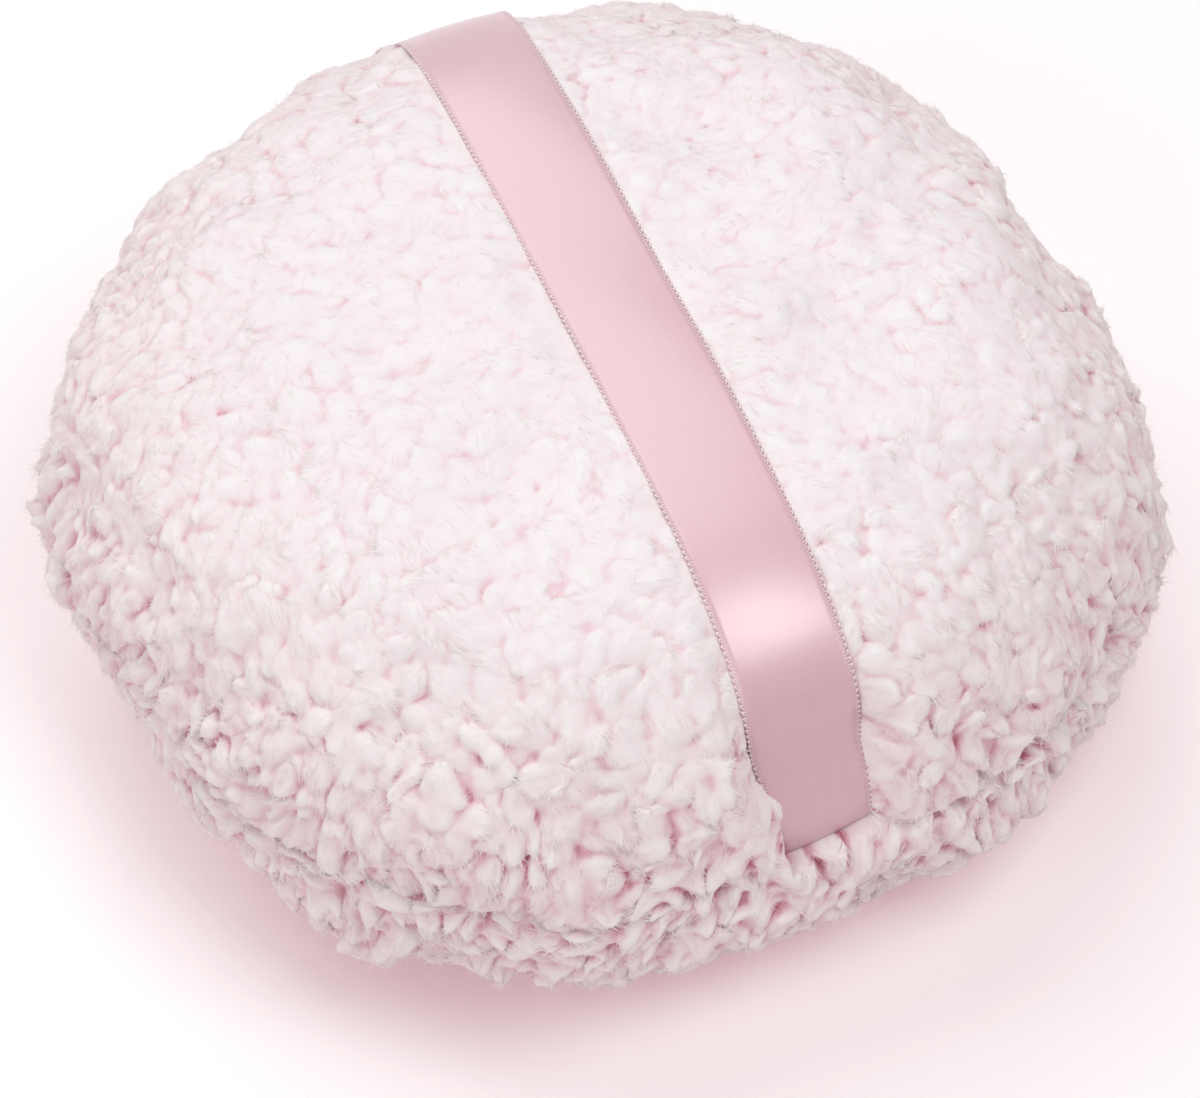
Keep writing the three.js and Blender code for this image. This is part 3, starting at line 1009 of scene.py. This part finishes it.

# %% [markdown]
# ## The fleece's finish
#
# The real pile is white at its tips and pink in its depths, where the dyed backing shows
# through. The ramp also paints shade into that pink: the shade that falls in the pockets and
# the light bounced from tuft to tuft. The map's second number says how high a place lies over
# what is round it, so a ramp on it colours pockets and tips. The first number says whether it
# is on the open top, where the pink and the painted shade are faint, or on the flank, where
# the deeper pockets get darker painted shade. Fleece has no shine, only a faint sheen where
# the fibres catch the light from the side.

# %% Fleece finish
# Ramp stops from pocket to tip: pink dye with painted shade in the pockets, darker on the flank.
pile_levels = (0.15, 0.35, 0.55, 0.8)
flank_dye_and_shade_pinks = ((190, 114, 132), (218, 168, 179), (240, 222, 225), (248, 243, 242))
top_dye_and_shade_pinks = ((222, 170, 184), (240, 212, 220), (248, 239, 241), (250, 247, 247))
fleece = Finish("fleece")
tone, height, _ = fleece.split(fleece.chart(BAKE_MAP))
flank_dye_and_shade_stops = [(level, srgb(*pink)) for level, pink in zip(pile_levels, flank_dye_and_shade_pinks)]
top_dye_and_shade_stops = [(level, srgb(*pink)) for level, pink in zip(pile_levels, top_dye_and_shade_pinks)]
flank_dye_and_shade_colour = fleece.ramp(height, flank_dye_and_shade_stops)
top_dye_and_shade_colour = fleece.ramp(height, top_dye_and_shade_stops)
fleece_finish = fleece.surface(
    Base_Color=fleece.mix(tone, flank_dye_and_shade_colour, top_dye_and_shade_colour),
    Roughness=0.95,
    Sheen_Weight=0.15,
    Sheen_Roughness=0.6,
    Specular_IOR_Level=0.1,
)
for piece, node in ((upper_fleece, "upper_pile"), (lower_fleece, "lower_pile")):
    piece.data.materials.append(fleece_finish)
    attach(piece, "puff")
    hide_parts(node)

# %% [markdown]
# ## The ribbon
#
# A narrow satin ribbon is woven with a selvage: the weft turns back at each edge and leaves a
# row of tiny loops. It is one strip from the seam at the front, over the top, to the seam at
# the rear. A flat grid is bent along that path, so that its own map runs along the warp.

# %% Ribbon path
ribbon_bend = 0.7 * MM
ribbon_sheet = 0.25 * MM
ribbon_half = ribbon_width / 2
ribbon_camber = 0.22 * MM
ribbon_wave = 0.12 * MM
ribbon_step = 0.3 * MM
wave_turns = (31, 240)
ribbon_rows = 260
ribbon_columns = 14


def ribbon_half_path(reach, inner_end):
    """Points from a sewn end of the ribbon up to its crown: how far out and how high."""
    rise = ribbon_crown - seam_height - ribbon_thick / 2
    turn = np.linspace(0, np.pi / 2, 400)
    out = (reach - ribbon_thick / 2) * np.cos(turn) ** (2 / ribbon_powers[0])
    up = rise * np.sin(turn) ** (2 / ribbon_powers[1])
    rising = up > ribbon_bend
    corner = np.linspace(-np.pi / 2, 0, 12)
    bend_out = reach - ribbon_thick / 2 - ribbon_bend + ribbon_bend * np.cos(corner)
    bend_up = ribbon_bend + ribbon_bend * np.sin(corner)
    half_out = np.concatenate([[inner_end], bend_out, out[rising]])
    half_up = np.concatenate([[0], bend_up, up[rising]])
    return half_out, half_up


front_out, front_up = ribbon_half_path(front_reach, -front_high[1])
rear_out, rear_up = ribbon_half_path(rear_reach, rear_low[1])
path_y = np.concatenate([-front_out, rear_out[::-1][1:]])
path_z = np.concatenate([front_up, rear_up[::-1][1:]]) + seam_height
path_steps = np.hypot(np.diff(path_y), np.diff(path_z))
path_length = np.concatenate([[0], np.cumsum(path_steps)])
ribbon_length = float(path_length[-1])


def on_ribbon(across, along, lift=0.0):
    """A point of the ribbon: across in metres from its middle, along from 0 to 1."""
    spot = along * ribbon_length
    places = (spot - ribbon_step, spot, spot + ribbon_step)
    y_before, y, y_after = np.interp(places, path_length, path_y)
    z_before, z, z_after = np.interp(places, path_length, path_z)
    slope_y = y_after - y_before
    slope_z = z_after - z_before
    size = np.hypot(slope_y, slope_z)
    wave = math.sin(along * wave_turns[0] + across * wave_turns[1])
    wave *= math.sin(along * math.pi) ** 2
    out = ribbon_wave * wave - ribbon_camber * (across / ribbon_half) ** 2
    out += lift + stand(y, z) - dent(y, z)
    if across < 0:
        across *= float(left_reach(y, z)) / ribbon_half
    x = ribbon_middle(y) + across
    hang_down = float(drop(across, y, z))
    return Vector((x, y - slope_z / size * out, z + slope_y / size * out - hang_down))


print("ribbon", round(ribbon_length * 1000, 1), "mm long with its sewn ends")

# %% Ribbon strip
selvage_share = 0.06
net = bmesh.new()
net.loops.layers.uv.new(BAKE_MAP)
segments = {"x_segments": ribbon_columns, "y_segments": ribbon_rows}
bmesh.ops.create_grid(net, **segments, size=1, calc_uvs=True)
for corner in net.verts:
    corner.co = on_ribbon(corner.co.x * ribbon_half, (corner.co.y + 1) / 2)
bmesh.ops.recalc_face_normals(net, faces=net.faces)
chart_layer = net.loops.layers.uv[BAKE_MAP]
for face in net.faces:
    face.smooth = True
    for loop in face.loops:
        place = loop[chart_layer].uv
        place.x = 2 * selvage_share + (1 - 2 * selvage_share) * place.x
ribbon = add_object("satin_ribbon", mesh_of("satin_ribbon", net))
sheet = ribbon.modifiers.new("sheet", "SOLIDIFY")
sheet.thickness = ribbon_sheet
sheet.offset = 0
apply_modifiers(ribbon)
print("ribbon strip", len(ribbon.data.polygons), "faces")

# %% [markdown]
# ## The loops on its edges
#
# Each loop is a thread that comes out of the weave, turns and goes back in. It is a small
# ring section spun half-way round, and stands across the edge. There are hundreds, so each
# has only a few faces.

# %% Selvage loops
loop_pitch = 0.55 * MM
loop_out = 0.03 * MM
loop_in = 0.36 * MM
loop_thread = 0.02 * MM
thread_share = 0.28


def loop_unit():
    """Half a ring that opens inwards: x goes out of the edge and y along it."""
    net = bmesh.new()
    net.loops.layers.uv.new(BAKE_MAP)
    made = bmesh.ops.create_circle(net, cap_ends=True, segments=4, radius=thread_share)
    bmesh.ops.rotate(net, matrix=Matrix.Rotation(math.pi / 2, 3, "Y"), verts=made["verts"])
    bmesh.ops.translate(net, vec=(0, -1, 0), verts=made["verts"])
    start = list(net.verts) + list(net.edges) + list(net.faces)
    bmesh.ops.spin(net, geom=start, axis=(0, 0, 1), angle=math.pi, steps=5)
    bmesh.ops.recalc_face_normals(net, faces=net.faces)
    return arrays_of(mesh_of("unit", net))


loop_shape = loop_unit()
loop_count = int(ribbon_length / loop_pitch) - 2
loop_spots = []
for edge in (-1, 1):
    for i in range(loop_count):
        for x, y, z in loop_shape["corners"]:
            across = edge * (ribbon_half - loop_in + x * (loop_in + loop_out))
            along = (i + 1.5 + y * 0.3 + x * 0.35) * loop_pitch / ribbon_length
            above = ribbon_sheet / 2 + z * loop_thread / thread_share
            loop_spots.append(on_ribbon(across, along, above))
loop_spots = np.array(loop_spots).reshape(loop_count * 2, -1, 3)
loop_chart = np.full((loop_count * 2 * len(loop_shape["faces"]), 2), selvage_share / 2)
loop_chart[:, 1] = np.linspace(*map_limits, len(loop_chart))
loops = repeat_shape(loop_shape, loop_spots, loop_chart)
strip = arrays_of(ribbon.data)
old_strip = ribbon.data
ribbon.data = joined_mesh("satin_ribbon", [strip, loops])
bpy.data.meshes.remove(old_strip)
net = net_of(ribbon.data)
bmesh.ops.recalc_face_normals(net, faces=net.faces)
put_back(net, ribbon.data)
print(loop_count * 2, "loops of", len(loop_shape["sizes"]), "faces")

# %% [markdown]
# ## The satin's finish
#
# Satin shines because its warp threads float over many weft threads, so light slides off it
# in broad soft bands across the ribbon. A medium roughness with a coat over it gives the
# bands, a thin sheen gives the pale glow at its edges, and fine ribs of the weave go into a
# bump. The loops are a paler pink and duller, because their thread is round and loose.

# %% Satin finish
satin = Finish("satin")
chart_u, chart_v, _ = satin.split(satin.chart(BAKE_MAP))
weft_pitch = 0.22 * MM
warp_pitch = 0.3 * MM
weft = satin.math("SINE", chart_v * (2 * math.pi * ribbon_length / weft_pitch))
warp = satin.math("SINE", chart_u * (2 * math.pi * ribbon_width / warp_pitch))
slubs = satin.noise(satin.stretch(satin.chart(BAKE_MAP), (40, 12, 1)), 1.0, 3, 0.6)
on_loops = 1 - satin.step(chart_u, selvage_share * 0.9, selvage_share * 1.1)
satin_colour = satin.mix(slubs, srgb(209, 163, 175), srgb(213, 171, 181))
satin_finish = satin.surface(
    Base_Color=satin.mix(on_loops, satin_colour, srgb(248, 226, 232)),
    Roughness=0.31 + slubs * 0.06 + on_loops * 0.3,
    Coat_Weight=0.7 - on_loops * 0.7,
    Coat_Roughness=0.24,
    IOR=2.0,
    Sheen_Weight=0.1,
    Sheen_Roughness=0.4,
    Normal=satin.bump(weft + warp * 0.4, 0.12, 0.02 * MM),
)
ribbon.data.materials.append(satin_finish)
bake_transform(ribbon)
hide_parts("ribbon_strap", "ribbon_tail_front", "ribbon_tail_rear")

# %% [markdown]
# ## The pieces that stay inside
#
# The knitted backings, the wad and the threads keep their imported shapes, which nothing shows
# from outside. Each still gets the finish of its own stuff, so that a cut-open view of the
# model reads right: rows of knit, matted fibre and the twist of a sewing thread.

# %% Inner finishes
knit = Finish("knit")
knit_rows = knit.waves("Z", 260, 1.5, 2)
knit_fluff = knit.noise(knit.place(), 900, 4, 0.6)
knit_mix = knit_rows * 0.6 + knit_fluff * 0.4
knit_finish = knit.surface(
    Base_Color=knit.mix(knit_mix, srgb(205, 150, 163), srgb(232, 196, 205)),
    Roughness=0.9,
    Sheen_Weight=0.2,
    Normal=knit.bump(knit_rows + knit_fluff * 0.5, 0.5, 0.2 * MM),
)

matted = Finish("matted_fibre")
flocks = matted.noise(matted.stretch(matted.place(), (1, 1, 2.5)), 350, 6, 0.7)
matted_finish = matted.surface(
    Base_Color=matted.mix(flocks, srgb(226, 224, 222), srgb(250, 249, 247)),
    Roughness=0.95,
    Normal=matted.bump(flocks, 0.8, 0.8 * MM),
)

spun = Finish("spun_thread")
twist = spun.waves("DIAGONAL", 1500, 0.5, 2)
spun_finish = spun.surface(
    Base_Color=spun.mix(twist, srgb(196, 140, 154), srgb(226, 182, 194)),
    Roughness=0.7,
    Sheen_Weight=0.2,
    Normal=spun.bump(twist, 0.4, 0.05 * MM),
)

inner_finishes = (
    (knit_finish, ("upper_knit_backing", "lower_knit_backing")),
    (matted_finish, ("fibre_wad",)),
    (spun_finish, ("seam_needle_thread", "seam_bobbin_thread", "closing_thread")),
)
for finish, names in inner_finishes:
    for name in names:
        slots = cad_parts[name].data.materials
        slots.clear()
        slots.append(finish)
    print(finish.name, "on", ", ".join(names))

# %% [markdown]
# ## The table
#
# The photograph's ground is white, and the shadow on it is pink. A plain white floor gives a
# grey shadow. So for the camera the floor glows faintly pink and reflects the rest: in full
# light the two add up to white, and where the puff keeps the light off, the pink is left.
# Far from the puff, where the lamps don't reach, the floor fades into the white of the room.
# The light that the floor throws back on the puff comes from a plain, faintly pink surface.

# %% Floor
floor_size = 3.0
fade_from = 0.15
fade_to = 0.4
shadow_glow = (0.3, 0.08, 0.12)
floor_level = 1.09
floor_fill = tuple(floor_level - glow for glow in shadow_glow) + (1.0,)
bounce_colour = (0.95, 0.83, 0.86, 1.0)
pure_white = (1.0, 1.0, 1.0, 1.0)

net = bmesh.new()
bmesh.ops.create_grid(net, x_segments=8, y_segments=8, size=floor_size / 2)
table = add_object("table", mesh_of("table", net))

ground = Finish("ground")
glow = ground.shader("ShaderNodeEmission", Color=shadow_glow + (1.0,))
fill = ground.shader("ShaderNodeBsdfDiffuse", Color=floor_fill)
lit = ground.value(ground.node("ShaderNodeAddShader", {}, {0: glow, 1: fill}))
white = ground.shader("ShaderNodeEmission", Color=pure_white)
bounce = ground.shader("ShaderNodeBsdfDiffuse", Color=bounce_colour)
x, y, _ = ground.split(ground.place())
far = ground.step(x * x + y * y, fade_from**2, fade_to**2)
shown = ground.mix_shaders(far, lit, white)
both = ground.mix_shaders(ground.seen(), bounce, shown)
ground.node("ShaderNodeOutputMaterial", {}, {"Surface": both})
table.data.materials.append(ground.made)

# %% [markdown]
# ## The light
#
# A white room with four soft lamps. The largest stands above and behind, and gives the even
# brightness of the top and the soft shadow in front. One high up in front gives the broad
# shine on the ribbon's shoulder. One at each side lights the flanks. Each is a square that
# faces the puff, given by its place, its side in metres and its power.

# %% Light
room_strength = 0.235
room_colour = (1.0, 0.93, 0.945, 1.0)
lamp_white = (1.0, 0.99, 0.985)
lamp_aim = Vector((0, 0, 20 * MM))
lamps = {
    "front": ((0.18, -0.34, 0.84), 0.45, 2.55),
    "left": ((-0.7, -0.45, 0.48), 0.7, 2.4),
    "right": ((0.8, -0.4, 0.42), 0.5, 1.0),
    "overhead": ((-0.15, 0.6, 0.8), 1.1, 5.9),
}

room = Finish("room", bpy.data.worlds)
light = room.shader("ShaderNodeBackground", Color=room_colour, Strength=room_strength)
backdrop = room.shader("ShaderNodeBackground", Color=pure_white, Strength=1.0)
both = room.mix_shaders(room.seen(), light, backdrop)
room.node("ShaderNodeOutputWorld", {}, {"Surface": both})
bpy.context.scene.world = room.made

for name, (place, size, energy) in lamps.items():
    lamp = bpy.data.lights.new(name, "AREA")
    lamp.size = size
    lamp.energy = energy
    lamp.color = lamp_white
    holder = add_object(name, lamp)
    holder.location = place
    holder.rotation_mode = "QUATERNION"
    holder.rotation_quaternion = (lamp_aim - Vector(place)).to_track_quat("-Z", "Y")
bpy.context.scene.view_settings.view_transform = "Standard"
print("lamps:", ", ".join(lamps))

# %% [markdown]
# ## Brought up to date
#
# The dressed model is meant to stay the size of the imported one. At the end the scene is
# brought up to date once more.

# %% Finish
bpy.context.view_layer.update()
